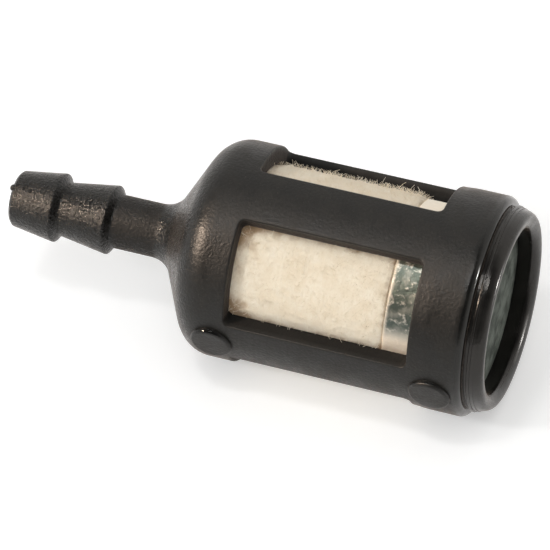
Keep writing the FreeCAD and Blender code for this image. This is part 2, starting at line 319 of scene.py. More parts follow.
def apply(piece):
    """Make the piece's modifiers part of its mesh."""
    graph = bpy.context.evaluated_depsgraph_get()
    mesh = bpy.data.meshes.new_from_object(piece.evaluated_get(graph))
    old = piece.data
    piece.modifiers.clear()
    piece.data = mesh
    mesh.name = piece.name
    bpy.data.meshes.remove(old)


def dress(piece, node, material):
    """Let a piece stand for its CAD node, with the record's slot and a material."""
    piece.data.materials.clear()
    piece.data.materials.append(material)
    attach(piece, BODY)
    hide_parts(node)


def closed_ring(count):
    """Angles of points spaced evenly round the axis."""
    return np.arange(count) * math.tau / count


# ---------------------------------------------------------------- node helpers

class Graph:
    """A short way to add and join the nodes of one tree."""

    def __init__(self, tree):
        self.tree = tree
        tree.nodes.clear()

    def add(self, kind, inputs=(), **settings):
        """A new node. Each input takes another node's socket or a value."""
        node = self.tree.nodes.new(kind)
        for name, chosen in settings.items():
            setattr(node, name, chosen)
        for key, chosen in dict(inputs).items():
            socket = node.inputs[key]
            if isinstance(chosen, bpy.types.NodeSocket):
                self.tree.links.new(chosen, socket)
            else:
                socket.default_value = chosen
        return node

    def maths(self, operation, first, second=0.0):
        return self.add("ShaderNodeMath", {0: first, 1: second}, operation=operation).outputs[0]

    def plus(self, first, second):
        return self.maths("ADD", first, second)

    def minus(self, first, second):
        return self.maths("SUBTRACT", first, second)

    def times(self, first, second):
        return self.maths("MULTIPLY", first, second)

    def larger(self, first, second):
        return self.maths("MAXIMUM", first, second)

    def ranged(self, source, low, high, to_low=0.0, to_high=1.0, kind="LINEAR"):
        """A factor mapped from one range to another, and held at its ends."""
        return self.add("ShaderNodeMapRange", {
            "Value": source, "From Min": low, "From Max": high, "To Min": to_low, "To Max": to_high},
            interpolation_type=kind).outputs["Result"]

    def eased(self, *source_and_range):
        """A factor mapped as ranged does, with soft ends."""
        return self.ranged(*source_and_range, kind="SMOOTHSTEP")

    def blended(self, amount, first, second):
        """Two colours mixed by an amount."""
        first, second = (chosen if isinstance(chosen, bpy.types.NodeSocket) else (*chosen, 1.0)
                         for chosen in (first, second))
        return self.add("ShaderNodeMix", {0: amount, 6: first, 7: second},
                        data_type="RGBA", blend_type="MIX").outputs[2]


class Finish(Graph):
    """The nodes of a new material, which reads Object coordinates."""

    def __init__(self, name):
        self.material = bpy.data.materials.new(name)
        self.material.use_nodes = True
        super().__init__(self.material.node_tree)
        self.place = self.add("ShaderNodeTexCoord").outputs["Object"]

    def noise(self, per_mm, detail=4.0, roughness=0.55, place=None):
        """Noise with about per_mm features in each millimetre."""
        return self.add("ShaderNodeTexNoise", {
            "Vector": place or self.place, "Scale": per_mm / MM, "Detail": detail,
            "Roughness": roughness}).outputs["Fac"]

    def streaks(self, along, across, detail, roughness):
        """Noise with its own number of features in each millimetre along the axis and across it."""
        place = self.add("ShaderNodeMapping", {
            "Vector": self.place, "Scale": (along, across, across)}).outputs[0]
        return self.noise(1.0, detail, roughness, place)

    def marked(self, name):
        """A value that the piece's vertices carry."""
        return self.add("ShaderNodeAttribute", attribute_name=name).outputs["Fac"]

    def axes(self):
        return self.add("ShaderNodeSeparateXYZ", {"Vector": self.place}).outputs

    def bumps(self, *layers):
        """Bumps one on another, each a height and how many millimetres a height of 1 stands."""
        normal = {}
        for height, depth in layers:
            bump = self.add("ShaderNodeBump", {
                "Strength": 1.0, "Distance": depth * MM, "Height": height, **normal})
            normal = {"Normal": bump.outputs["Normal"]}
        return normal["Normal"]

    def shaded(self, **sockets):
        """The material, its shader's sockets named in words joined by underscores."""
        inputs = {name.replace("_", " "): chosen for name, chosen in sockets.items()}
        shader = self.add("ShaderNodeBsdfPrincipled", inputs)
        self.add("ShaderNodeOutputMaterial", {"Surface": shader.outputs["BSDF"]})
        return self.material


def tinted(rgb, *factors):
    """A colour times one factor, or one for each channel, and at most 1."""
    return tuple(min(1.0, c * k) for c, k in zip(rgb, factors * 3 if len(factors) == 1 else factors))


# ---------------------------------------------------------------- materials

def moulded_nylon(settings):
    """Dark moulded nylon: spark grain on the stem and bell, finer and more matt on the cage, with dust."""
    bell, cage = 14.8 * MM, 19.2 * MM
    graph = Finish("moulded_nylon")
    grain = graph.noise(4.4, detail=3.0)
    patches = graph.noise(0.55, detail=2.0)
    flow = graph.streaks(5.2, 0.62, detail=3.0, roughness=0.6)
    polish, recess_shade = graph.marked("polish"), graph.marked("recess_shade")
    coarse = graph.eased(graph.axes()["X"], bell, cage, 1.0, 0.0)

    dark, warm = tinted(settings.nylon, 0.6), tinted(settings.nylon, 1.7, 1.55, 1.4)
    dust = graph.eased(graph.noise(9.0, detail=1.0), 0.68, 0.78)
    tone = graph.blended(graph.ranged(patches, 0.35, 0.65), dark, warm)
    tone = graph.blended(graph.ranged(grain, 0.35, 0.65, 0.7, 0.0), tone, tinted(dark, 0.3))
    tone = graph.blended(graph.times(dust, 0.3), tone, (0.10, 0.085, 0.07))
    # Painted shade: the window walls and the neck behind the barbs are darkened towards black.
    tone = graph.blended(graph.times(recess_shade, 0.8), tone, (0.002, 0.002, 0.002))

    gloss = graph.plus(graph.ranged(patches, 0.3, 0.7, settings.gloss - 0.07, settings.gloss + 0.07),
                       graph.ranged(flow, 0.3, 0.7, -0.04, 0.04))
    gloss = graph.minus(gloss, graph.times(polish, 0.34))
    gloss = graph.plus(gloss, graph.times(recess_shade, 0.4))
    gloss = graph.plus(gloss, graph.eased(coarse, 0.0, 0.5, 0.15, 0.0))
    spark = graph.eased(graph.noise(4.6, detail=1.0), 0.50, 0.62, 0.0, 0.16)
    gloss = graph.minus(gloss, graph.times(spark, coarse))

    height = graph.times(graph.eased(grain, 0.28, 0.72, -0.25, 0.25), graph.larger(coarse, 0.35))
    height = graph.times(height, graph.minus(1.0, graph.times(polish, 0.95)))
    normal = graph.bumps((patches, 0.04), (height, 0.075))
    return graph.shaded(
        Base_Color=tone, Roughness=gloss, Normal=normal, IOR=1.42, Specular_Tint=(1.0, 0.98, 0.95, 1.0),
        Sheen_Weight=0.2, Sheen_Roughness=0.3, Sheen_Tint=(0.95, 0.74, 0.6, 1.0))


def ring_nylon(settings):
    """Smooth dark nylon, polished by the roll that formed the lip, with faint round lines."""
    rim_start, rim_end = settings.crest_end - 0.6 * MM, settings.crest_end - 0.2 * MM
    graph = Finish("ring_nylon")
    patches = graph.noise(0.7, detail=3.0)
    grain = graph.noise(3.5, detail=3.0)
    axes = graph.axes()
    radius = graph.maths("SQRT", graph.plus(*(graph.maths("POWER", axes[name], 2.0) for name in "YZ")))
    across_lines = graph.plus(radius, graph.times(axes["X"], 0.7))
    lines = graph.add("ShaderNodeTexNoise", {"W": across_lines, "Scale": 9.0 / MM, "Detail": 2.0},
                      noise_dimensions="1D").outputs["Fac"]
    tone = graph.blended(graph.ranged(patches, 0.35, 0.7),
                         tinted(settings.nylon, 0.7), tinted(settings.nylon, 1.7))
    gloss = graph.plus(graph.ranged(patches, 0.3, 0.7, settings.gloss - 0.06, settings.gloss + 0.08),
                       graph.ranged(lines, 0.3, 0.7, -0.04, 0.04))
    gloss = graph.plus(gloss, graph.eased(axes["X"], rim_start, rim_end, 0.0, 0.1))
    normal = graph.bumps((lines, 0.002), (patches, 0.03), (grain, 0.003))
    return graph.shaded(
        Base_Color=tone, Roughness=gloss, Normal=normal, IOR=1.45, Specular_Tint=(1.0, 0.95, 0.9, 1.0),
        Sheen_Weight=0.3, Sheen_Roughness=0.25, Sheen_Tint=(0.95, 0.78, 0.66, 1.0))


def pressed_felt(settings):
    """Cream pressed felt with fine strands, stained where fuel dries at the window borders."""
    graph = Finish("pressed_felt")
    cloud = graph.noise(0.8, detail=5.0, roughness=0.6)
    fluff = graph.noise(3.4, detail=5.0, roughness=0.75)
    strands = graph.streaks(4.8, 1.1, detail=4.0, roughness=0.65)
    deep = tinted(settings.wool, 0.95, 0.90, 0.83)
    tone = graph.blended(graph.ranged(cloud, 0.3, 0.7), tinted(settings.wool, 1.05), deep)
    for pattern in (fluff, strands):
        tone = graph.blended(graph.ranged(pattern, 0.3, 0.55, 0.6, 0.0), tone, deep)
    # Fuel stain at the window borders, with painted shade along each window's start.
    stained_and_shaded = graph.plus(graph.marked("stain_and_shade"), graph.ranged(cloud, 0.3, 0.7, -0.3, 0.3))
    tone = graph.blended(graph.eased(stained_and_shaded, 0.15, 0.95, 0.0, 0.85), tone, settings.stain_and_shade)
    normal = graph.bumps((cloud, 0.03), (fluff, 0.05), (strands, 0.04))
    return graph.shaded(Base_Color=tone, Roughness=0.95, Normal=normal, Sheen_Weight=0.25,
                        Sheen_Roughness=0.6, Specular_IOR_Level=0.2)


def loose_fibre(settings):
    """Wool-white fibre, a little paler or yellower from place to place."""
    graph = Finish("loose_fibre")
    cloud = graph.noise(1.1, detail=3.0)
    tone = graph.blended(graph.ranged(cloud, 0.35, 0.65),
                         tinted(settings.wool, 1.08), tinted(settings.wool, 0.95, 0.89, 0.80))
    return graph.shaded(Base_Color=tone, Roughness=0.7, Sheen_Weight=0.2, Specular_IOR_Level=0.3)


def plated_steel(settings):
    """Zinc plate with a grey-green passivated bloom over bright worn metal, dull on the end face."""
    face = SLUG_END + settings.face_step
    graph = Finish("plated_steel")
    cloud = graph.noise(0.7, detail=5.0, roughness=0.6)
    crinkle = graph.noise(2.4, detail=5.0, roughness=0.6)
    grain = graph.noise(8.0, detail=3.0)
    axes = graph.axes()
    on_face = graph.ranged(axes["X"], face - 0.25 * MM, face - 0.12 * MM)
    bloom_and_painted_reflection = graph.eased(cloud, 0.30, 0.55, 0.8, 1.0)
    # Painted reflection: low on the slug and on its far side the bloom gives way to bright zinc that stands in
    # for the pale floor and room; it is also thinner along the rim beside the felt.
    for axis, low, high, left_low, left_high in (
            ("Z", 0.9 * MM, 2.4 * MM, 0.1, 1.0), ("Y", -3.4 * MM, -1.4 * MM, 1.0, 0.1),
            ("X", SLUG_START + 0.05 * MM, SLUG_START + 0.4 * MM, 0.4, 1.0)):
        bloom_and_painted_reflection = graph.times(bloom_and_painted_reflection, graph.eased(axes[axis], low, high, left_low, left_high))
    tone = graph.blended(bloom_and_painted_reflection, settings.zinc, settings.chromate)
    tone = graph.blended(graph.eased(crinkle, 0.52, 0.72, 0.0, 0.6), tone, settings.zinc)
    dull = graph.blended(graph.ranged(cloud, 0.38, 0.62),
                         tinted(settings.face, 0.75), tinted(settings.face, 1.9))
    tone = graph.blended(on_face, tone, dull)
    gloss = graph.plus(graph.ranged(bloom_and_painted_reflection, 0.0, 1.0, 0.75, 0.40), graph.ranged(grain, 0.3, 0.7, -0.05, 0.05))
    gloss = graph.plus(gloss, graph.times(on_face, 0.22))
    normal = graph.bumps((crinkle, 0.06), (grain, 0.006))
    return graph.shaded(Base_Color=tone, Metallic=1.0, Roughness=gloss, Normal=normal)


def core_nylon(settings):
    """Natural nylon of the support core, yellowed by fuel from place to place."""
    graph = Finish("core_nylon")
    cloud = graph.noise(0.7)
    grain = graph.noise(6.0, detail=2.0)
    tone = graph.blended(graph.ranged(cloud, 0.35, 0.65),
                         settings.nylon, tinted(settings.nylon, 0.97, 0.90, 0.75))
    return graph.shaded(Base_Color=tone, Roughness=graph.ranged(grain, 0.3, 0.7, 0.38, 0.5),
                        Normal=graph.bumps((grain, 0.006)))


def thread_nylon(settings):
    """Drawn nylon thread, a little yellowed by fuel."""
    graph = Finish("thread_nylon")
    cloud = graph.noise(2.5, detail=3.0)
    tone = graph.blended(graph.ranged(cloud, 0.3, 0.7),
                         settings.weave, tinted(settings.weave, 0.97, 0.91, 0.78))
    return graph.shaded(Base_Color=tone, Roughness=graph.ranged(cloud, 0.3, 0.7, 0.25, 0.4))


# ---------------------------------------------------------------- housing

def window_outline(settings, offset, along, round_steps, column_steps):
    """Points round a window's edge, moved out by offset, as (station, angle from its middle)."""
    start = settings.window_start - offset
    end = settings.window_end + offset
    half = settings.window_span / 2 + offset / CAGE_RADIUS
    corner = settings.window_corner + offset
    turned = corner / CAGE_RADIUS
    points = []

    def side(first, last, steps):
        points.extend(np.linspace(first, last, steps, endpoint=False))

    def bend(x, a, first_angle):
        for turn in np.linspace(first_angle, first_angle + math.pi / 2, round_steps, endpoint=False):
            points.append((x + corner * math.cos(turn), a + turned * math.sin(turn)))

    side((start + corner, -half), (end - corner, -half), along)
    bend(end - corner, -half + turned, -math.pi / 2)
    side((end, -half + turned), (end, half - turned), column_steps)
    bend(end - corner, half - turned, 0.0)
    side((end - corner, half), (start + corner, half), along)
    bend(start + corner, half - turned, math.pi / 2)
    side((start, half - turned), (start, -half + turned), column_steps)
    bend(start + corner, -half + turned, math.pi)
    return np.array(points)


def sector_border(first, last, along, round_steps, column_steps):
    """Points round the sector's rectangle, matched one for one with a window's edge."""
    half = SECTOR / 2
    share = round_steps // 2
    rows = np.linspace(first, last, along + 2 * share + 1)
    columns = np.linspace(-half, half, column_steps + 2 * share + 1)
    points = [(x, -half) for x in rows[:-1]]
    points += [(last, a) for a in columns[:-1]]
    points += [(x, half) for x in rows[:0:-1]]
    points += [(first, a) for a in columns[:0:-1]]
    return np.roll(np.array(points), -share, axis=0)


def cage_patch(settings, first, last):
    """Rows of (station, radius, angle) over one sector: outside, round the window's edge, inside."""
    round_steps, along = 8, 40
    column_steps = STEPS_PER_SECTOR - round_steps
    outer, inner = CAGE_RADIUS, CAGE_RADIUS - settings.wall
    edge, inner_edge = settings.window_edge, settings.window_edge / 2
    border = sector_border(first, last, along, round_steps, column_steps)
    rows = []

    def row(offset, radius, spread=0.0):
        points = window_outline(settings, offset, along, round_steps, column_steps)
        mixed = points + (border - points) * spread
        rows.append(np.column_stack([mixed[:, 0], np.full(len(mixed), radius), mixed[:, 1]]))

    for spread in (1.0, 0.8, 0.6, 0.4, 0.22, 0.08):
        row(edge, outer, spread)
    for turn in np.linspace(0, math.pi / 2, 6):
        row(edge * (1 - math.sin(turn)), outer - edge * (1 - math.cos(turn)))
    for part in (0.33, 0.67):
        row(0.0, (outer - edge) + (inner + inner_edge - outer + edge) * part)
    for turn in np.linspace(0, math.pi / 2, 4):
        row(inner_edge * (1 - math.cos(turn)), inner + inner_edge * (1 - math.sin(turn)))
    for spread in (0.15, 0.4, 0.7, 1.0):
        row(inner_edge, inner, spread)
    return rows


def stem_outline(settings, join):
    """Half section from the cage's front join, over the bell and stem, back through the bore."""
    first_crest, pitch, back_slope = 3.7 * MM, 4.45 * MM, 0.4 * MM
    tip_radius, chamfer = 2.05 * MM, 0.22 * MM
    neck_fillet, shoulder_fillet = 2.3 * MM, 2.7 * MM
    neck_end = settings.shoulder - (CAGE_RADIUS - settings.neck) / math.tan(settings.flank)
    second_crest = first_crest + pitch
    socket = CORE_RADIUS + CORE_CLEARANCE
    inner = CAGE_RADIUS - settings.wall
    return rounded([
        (join, CAGE_RADIUS, 0),
        (settings.shoulder, CAGE_RADIUS, shoulder_fillet),
        (neck_end, settings.neck, neck_fillet),
        (second_crest + back_slope, settings.neck, 0.1 * MM),
        (second_crest, settings.barb, settings.crest_rounding),
        (first_crest + back_slope, settings.neck, 0.1 * MM),
        (first_crest, settings.barb, settings.crest_rounding),
        (chamfer, tip_radius + chamfer, 0.12 * MM),
        (TIP, tip_radius, 0.1 * MM),
        (TIP, settings.bore, 0.1 * MM),
        (CORE_START, settings.bore, 0),
        (CORE_START, socket, 0),
        (FELT_START, socket, 0.1 * MM),
        (FELT_START, inner, 0.15 * MM),
        (join, inner, 0),
    ])


def collar_outline(settings, join):
    """Half section from the cage's rear join, round the open end and its counterbore."""
    counterbore, counterbore_start = 7.75 * MM, RING_START - 0.05 * MM
    inner = CAGE_RADIUS - settings.wall
    return rounded([
        (join, CAGE_RADIUS, 0),
        (OPEN_END, CAGE_RADIUS, 0.6 * MM),
        (OPEN_END, counterbore, 0.08 * MM),
        (counterbore_start, counterbore, 0),
        (counterbore_start, inner, 0),
        (join, inner, 0),
    ])


def turned_form(name, outline, sides, place, direction):
    """A small round form, lathed from an outline along +X and set at a place in a direction."""
    shell = Shell()
    shell.lathe(outline, closed_ring(sides))
    piece = shell.finish(name)
    turn = Vector((1, 0, 0)).rotation_difference(Vector(direction)).to_matrix().to_4x4()
    piece.data.transform(Matrix.Translation(place) @ turn)
    return piece


def pad_form(name, settings, station, roll):
    """A round pad with a soft rim, standing on the cage at a station and angle."""
    rim = 0.27 * MM
    top = CAGE_RADIUS + settings.pad_height
    root = CAGE_RADIUS - settings.wall / 2
    outline = rounded([
        (root, 0, 0),
        (root, settings.pad, 0),
        (top, settings.pad, rim),
        (top, 0, 0),
    ])
    return turned_form(name, outline, 64, (station, 0, 0), around(0.0, 1.0, roll))


def nib_form(settings):
    """The nib that the moulding gate left on the tip's rim."""
    station, radius, turn_round = 0.1 * MM, 1.92 * MM, math.radians(65)
    root, dome_start, dome_height = -0.2 * MM, 0.12 * MM, settings.nib * 0.8
    dome = [(dome_start + dome_height * math.sin(turn), settings.nib * math.cos(turn))
            for turn in np.linspace(0, math.pi / 2, 6)]
    outline = [(root, 0), (root, settings.nib)] + dome[:-1] + [(dome[-1][0], 0)]
    return turned_form("nib", outline, 20, around(station, radius, turn_round), (-1, 0.1, 0.35))


def window_margins(co, settings):
    """Distances of a point in from a window's start and from its nearer side, less than 0 outside."""
    turned = math.atan2(co.z, -co.y)
    middle = (turned - settings.first_window + SECTOR / 2) % SECTOR - SECTOR / 2
    return co.x - settings.window_start, (settings.window_span / 2 - abs(middle)) * CAGE_RADIUS


def polish_at(vertex):
    """How polished the housing is: on the sides of the pads that stand proud, and at the open end."""
    worn_side = Vector((-0.18, -0.70, 0.69))
    proud = distance_from_axis(vertex.co) - CAGE_RADIUS
    worn = vertex.normal.dot(worn_side) if proud > 0.04 * MM else 0.0
    at_end = (vertex.co.x - OPEN_END + 0.75 * MM) / (0.4 * MM)
    return clamped(max((worn - 0.6) * 4, at_end))


def recess_shade_at(co, settings):
    """How deep in a recess the housing is: in the windows' walls, and in the neck behind the barbs."""
    border, first_depth, depth = 0.2 * MM, 0.08 * MM, 0.2 * MM
    neck_start, neck_end, neck_fade = 8.3 * MM, 12.5 * MM, 0.8 * MM
    below = CAGE_RADIUS - distance_from_axis(co)
    start, side = window_margins(co, settings)
    if min(start, side) > -border and co.x < settings.window_end + border:
        return clamped((below - first_depth) / depth)
    if co.x < neck_end and below > 5 * MM:
        return 0.8 * clamped((co.x - neck_start) / neck_fade)
    return 0.0


def flare_out(co, settings):
    """Spread a point of the collar away from the axis."""
    flare_start, flare_length = 35.3 * MM, 1.2 * MM
    radius = distance_from_axis(co)
    flare = clamped((co.x - flare_start) / flare_length)
    if flare > 0 and radius > CAGE_RADIUS - 1 * MM:
        spread = 1 + settings.flare * flare * flare * (3 - 2 * flare) / radius
        co.y *= spread
        co.z *= spread


class FILTER_OT_housing(bpy.types.Operator):
    """Moulded stem, bell and cage with rounded windows, ejector pads and gate nib"""
    bl_idname = "filter.housing"
    bl_label = "Housing"

    def execute(self, context):
        settings = context.scene.filter_housing
        front_join, rear_join = 19.1 * MM, 37.4 * MM
        turns = np.arange(SECTORS * STEPS_PER_SECTOR) * SECTOR / STEPS_PER_SECTOR
        angles = settings.first_window + turns - SECTOR / 2
        shell = Shell()
        shell.lathe(divided(stem_outline(settings, front_join), 0.5 * MM), angles)
        shell.lathe(divided(collar_outline(settings, rear_join), 0.5 * MM), angles)
        patch = cage_patch(settings, front_join, rear_join)
        for sector in range(SECTORS):
            middle = settings.first_window + sector * SECTOR
            shell.strip([around(row[:, 0], row[:, 1], row[:, 2] + middle) for row in patch])
        piece = shell.finish("housing_shell")
        rib = settings.first_window - SECTOR / 2
        for form in (pad_form("front_pad", settings, settings.window_start - 1.05 * MM, rib),
                     pad_form("rear_pad", settings, settings.window_end + 1.9 * MM, rib),
                     nib_form(settings)):
            union = piece.modifiers.new(form.name, "BOOLEAN")
            union.operation = "UNION"
            union.solver = "EXACT"
            union.object = form
            apply(piece)
            bpy.data.objects.remove(form)
        smooth(piece.data, sharp=32)
        # One attribute carries the polish, another the painted shade of the window walls and the neck.
        polish, recess_shade = [], []
        for vertex in piece.data.vertices:
            polish.append(polish_at(vertex))
            recess_shade.append(recess_shade_at(vertex.co, settings))
            flare_out(vertex.co, settings)
        mark(piece, "polish", polish)
        mark(piece, "recess_shade", recess_shade)
        dress(piece, "housing", moulded_nylon(settings))
        return {"FINISHED"}


# ---------------------------------------------------------------- end ring

class FILTER_OT_end_ring(bpy.types.Operator):
    """End ring: skirt, groove, thin flange, notch and rolled lip"""
    bl_idname = "filter.end_ring"
    bl_label = "End ring"

    def execute(self, context):
        settings = context.scene.filter_ring
        inner = CAGE_RADIUS - context.scene.filter_housing.wall
        shelf = SLUG_END + context.scene.filter_weight.face_step
        seam_end, ridge_end, lip_start = (OPEN_END + step * MM for step in (0.3, 0.55, 0.69))
        ripple, ripples_per_mm = 0.03 * MM, 0.9
        roll_start = settings.crest_end - settings.roll
        turns = np.linspace(0, math.pi / 2, 12)[1:]
        outline = np.vstack([
            rounded([
                (shelf, settings.mouth, 0),
                (shelf, inner, 0),
                (RING_START, inner, 0.05 * MM),
                (RING_START, settings.skirt, 0.1 * MM),
                (OPEN_END, settings.skirt, 0),
                (OPEN_END, settings.groove, 0),
                (seam_end, settings.groove, 0.05 * MM),
                (seam_end, settings.ridge, 0.1 * MM),
                (ridge_end, settings.ridge, 0.1 * MM),
                (ridge_end, settings.notch, 0.03 * MM),
                (lip_start, settings.notch, 0.03 * MM),
                (lip_start, settings.lip - 0.12 * MM, 0.05 * MM),
                (lip_start + 0.15 * MM, settings.lip - 0.02 * MM, 0),
            ]),
            np.column_stack([roll_start + settings.roll * np.sin(turns),
                             settings.crest + (settings.lip - settings.crest) * np.cos(turns)]),
            np.column_stack([settings.crest_end - settings.roll_in * (1 - np.cos(turns)),
                             settings.crest - (settings.crest - settings.mouth) * np.sin(turns)]),
        ])
        shell = Shell()
        shell.lathe(np.vstack([divided(outline, 0.4 * MM, closed=True), outline[:1]]), closed_ring(216))
        piece = shell.finish("end_ring_shell")
        for vertex in piece.data.vertices:
            co = vertex.co
            radius = distance_from_axis(co)
            if radius > settings.lip + 0.1 * MM:
                wave = noise.noise(co * (ripples_per_mm / MM)) * ripple
                co.x += wave
                co.y *= 1 - abs(wave) / radius
                co.z *= 1 - abs(wave) / radius
            reach = max(0.0, (co.x - lip_start) / (settings.crest_end - lip_start))
            co.x += settings.lean * reach * (co.y * 0.7 - co.z * 0.714) / radius
        dress(piece, "end_ring", ring_nylon(settings))
        return {"FINISHED"}


# ---------------------------------------------------------------- felt

def stain_and_shade_at(co, cage):
    """How stained the felt is at a point, from 0 to 1: most in the corners of the windows."""
    start, side = window_margins(co, cage)

    def near(distance, reach):
        return max(0.0, 1 - distance / (reach * MM))

    # at_start paints shade as well as stain beside the window's start wall.
    at_start, at_side, at_end = near(start, 2.3), near(side, 0.75), near(FELT_END - co.x, 0.7)
    corner = at_start * near(side, 2.6)
    return min(1.0, 0.38 * at_start + 0.5 * at_side + 0.55 * at_end + 1.1 * corner)


def seen_at(co, cage):
    """How thickly fibres grow at a point: not at all outside the windows, and most at their ends."""
    start, side = window_margins(co, cage)
    if min(start, side) > 0 and distance_from_axis(co) > FELT_RADIUS - 0.3 * MM:
        return 0.45 + 0.55 * start / (FELT_END - cage.window_start)
    return 0.0


def swell_at(co, cage, nap):
    """How far the felt stands out of its solid: unevenly, and most in the middle of a window."""
    skin, border = 1.0 * MM, 0.8 * MM
    if distance_from_axis(co) < FELT_RADIUS - skin:
        return 0.0
    start, side = window_margins(co, cage)
    free = clamped(min(side, start, FELT_END - co.x) / border)
    rough = 0.5 * noise.noise(co * (0.9 / MM)) + 0.5 * noise.noise(co * (3.6 / MM))
    clump = max(0.0, noise.noise(co * (2.6 / MM))) ** 2
    return nap * (rough - 0.2) + free * (0.15 + 0.3 * clump) * MM


def fibre_tree():
    """Loose fibres on a surface: bent strands turned at random about each point's normal."""
    tree = bpy.data.node_groups.new("loose_fibres", "GeometryNodeTree")
    for name, kind in (("Geometry", "Geometry"), ("Density", "Float"), ("Length", "Float"),
                       ("Thickness", "Float"), ("Lean", "Float"), ("Clumping", "Float"),
                       ("Seed", "Int"), ("Material", "Material")):
        tree.interface.new_socket(name, in_out="INPUT", socket_type="NodeSocket" + kind)
    tree.interface.new_socket("Geometry", in_out="OUTPUT", socket_type="NodeSocketGeometry")
    graph = Graph(tree)
    inputs = graph.add("NodeGroupInput").outputs

    def at_random(low, high, seed):
        return graph.add("FunctionNodeRandomValue", {"Min": low, "Max": high, "Seed": seed},
                         data_type="FLOAT_VECTOR").outputs["Value"]

    def rotated(rotation, turn):
        return graph.add("FunctionNodeRotateEuler", {"Rotation": rotation, "Rotate By": turn},
                         space="LOCAL").outputs[0]

    place = graph.add("GeometryNodeInputPosition").outputs[0]
    cloud = graph.add("ShaderNodeTexNoise", {"Vector": place, "Scale": 0.9 / MM, "Detail": 2.0}).outputs["Fac"]
    seen = graph.add("GeometryNodeInputNamedAttribute", {"Name": "seen"},
                     data_type="FLOAT").outputs["Attribute"]
    clump = graph.times(graph.ranged(cloud, inputs["Clumping"], 0.65), seen)
    points = graph.add("GeometryNodeDistributePointsOnFaces", {
        "Mesh": inputs["Geometry"], "Density": graph.times(clump, inputs["Density"]),
        "Seed": inputs["Seed"]}, distribute_method="RANDOM").outputs
    strand = graph.add("GeometryNodeCurveQuadraticBezier", {
        "Resolution": 3, "Start": (0, 0, 0), "Middle": (0.15, 0.0, 0.55), "End": (0.55, 0.12, 0.85)})
    profile = graph.add("GeometryNodeCurvePrimitiveCircle", {"Resolution": 3, "Radius": inputs["Thickness"]})
    tube = graph.add("GeometryNodeCurveToMesh", {
        "Curve": strand.outputs["Curve"], "Profile Curve": profile.outputs["Curve"], "Fill Caps": True})
    spin = at_random((0, 0, 0), (0, 0, math.tau), inputs["Seed"])
    lean = at_random(
        graph.add("ShaderNodeCombineXYZ", {"X": graph.times(inputs["Lean"], -1.0)}).outputs[0],
        graph.add("ShaderNodeCombineXYZ", {"X": inputs["Lean"], "Z": math.tau}).outputs[0], 11)
    size = graph.add("FunctionNodeRandomValue", {2: 0.35, 3: 1.0, "Seed": 23}, data_type="FLOAT").outputs[1]
    placed = graph.add("GeometryNodeInstanceOnPoints", {
        "Points": points["Points"], "Instance": tube.outputs["Mesh"],
        "Rotation": rotated(rotated(points["Rotation"], spin), lean),
        "Scale": graph.times(size, inputs["Length"])})
    real = graph.add("GeometryNodeRealizeInstances", {"Geometry": placed.outputs["Instances"]})
    painted = graph.add("GeometryNodeSetMaterial", {
        "Geometry": real.outputs["Geometry"], "Material": inputs["Material"]})
    graph.add("NodeGroupOutput", {"Geometry": painted.outputs["Geometry"]})
    return tree


def set_inputs(modifier, values):
    """Set a Geometry Nodes modifier's inputs, found by name and set by identifier."""
    for item in modifier.node_group.interface.items_tree:
        if item.in_out == "INPUT" and item.name in values:
            modifier[item.identifier] = values[item.name]


def grow_fibres(name, ground, tree, values):
    """A mesh of the fibres that a tree grows on a piece's surface."""
    piece = linked(name, ground.data.copy())
    modifier = piece.modifiers.new("fibres", "NODES")
    modifier.node_group = tree
    set_inputs(modifier, values)
    apply(piece)
    piece.data.shade_smooth()
    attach(piece, BODY)


class FILTER_OT_felt(bpy.types.Operator):
    """Felt sleeve with an uneven nap, and the loose fibres in the windows"""
    bl_idname = "filter.felt"
    bl_label = "Felt sleeve"

    def execute(self, context):
        settings = context.scene.filter_felt
        cage = context.scene.filter_housing
        outline = rounded([
            (FELT_START, settings.bore, 0.2 * MM),
            (FELT_START, FELT_RADIUS, 0.3 * MM),
            (FELT_END, FELT_RADIUS, 0.14 * MM),
            (FELT_END, settings.bore, 0.2 * MM),
        ], steps=6)
        outline = divided(outline, 0.17 * MM, closed=True)
        # The hidden bore needs only every fourth point.
        outline = outline[[i for i, (x, r) in enumerate(outline) if r > FELT_RADIUS - 1.2 * MM or i % 4 == 0]]
        shell = Shell()
        shell.lathe(np.vstack([outline, outline[:1]]), closed_ring(280))
        piece = shell.finish("felt_body", sharp=70)
        # One attribute carries the fuel stain and the painted shade, another where fibres grow.
        for name, value_at in (("stain_and_shade", stain_and_shade_at), ("seen", seen_at)):
            mark(piece, name, [value_at(vertex.co, cage) for vertex in piece.data.vertices])
        push(piece, lambda co: swell_at(co, cage, settings.nap))
        dress(piece, "felt_sleeve", pressed_felt(settings))
        tree = fibre_tree()
        material = loose_fibre(settings)
        # A fibre's thickness is a share of its length.
        grow_fibres("felt_nap", piece, tree, {
            "Density": settings.fibre_density, "Length": settings.fibre_length, "Thickness": 0.03,
            "Lean": 0.65, "Clumping": 0.3, "Seed": settings.seed, "Material": material})
        grow_fibres("felt_strays", piece, tree, {
            "Density": settings.stray_density, "Length": settings.stray_length, "Thickness": 0.018,
            "Lean": 0.7, "Clumping": 0.42, "Seed": settings.seed + 1, "Material": material})
        return {"FINISHED"}


# ---------------------------------------------------------------- slug, core and screen

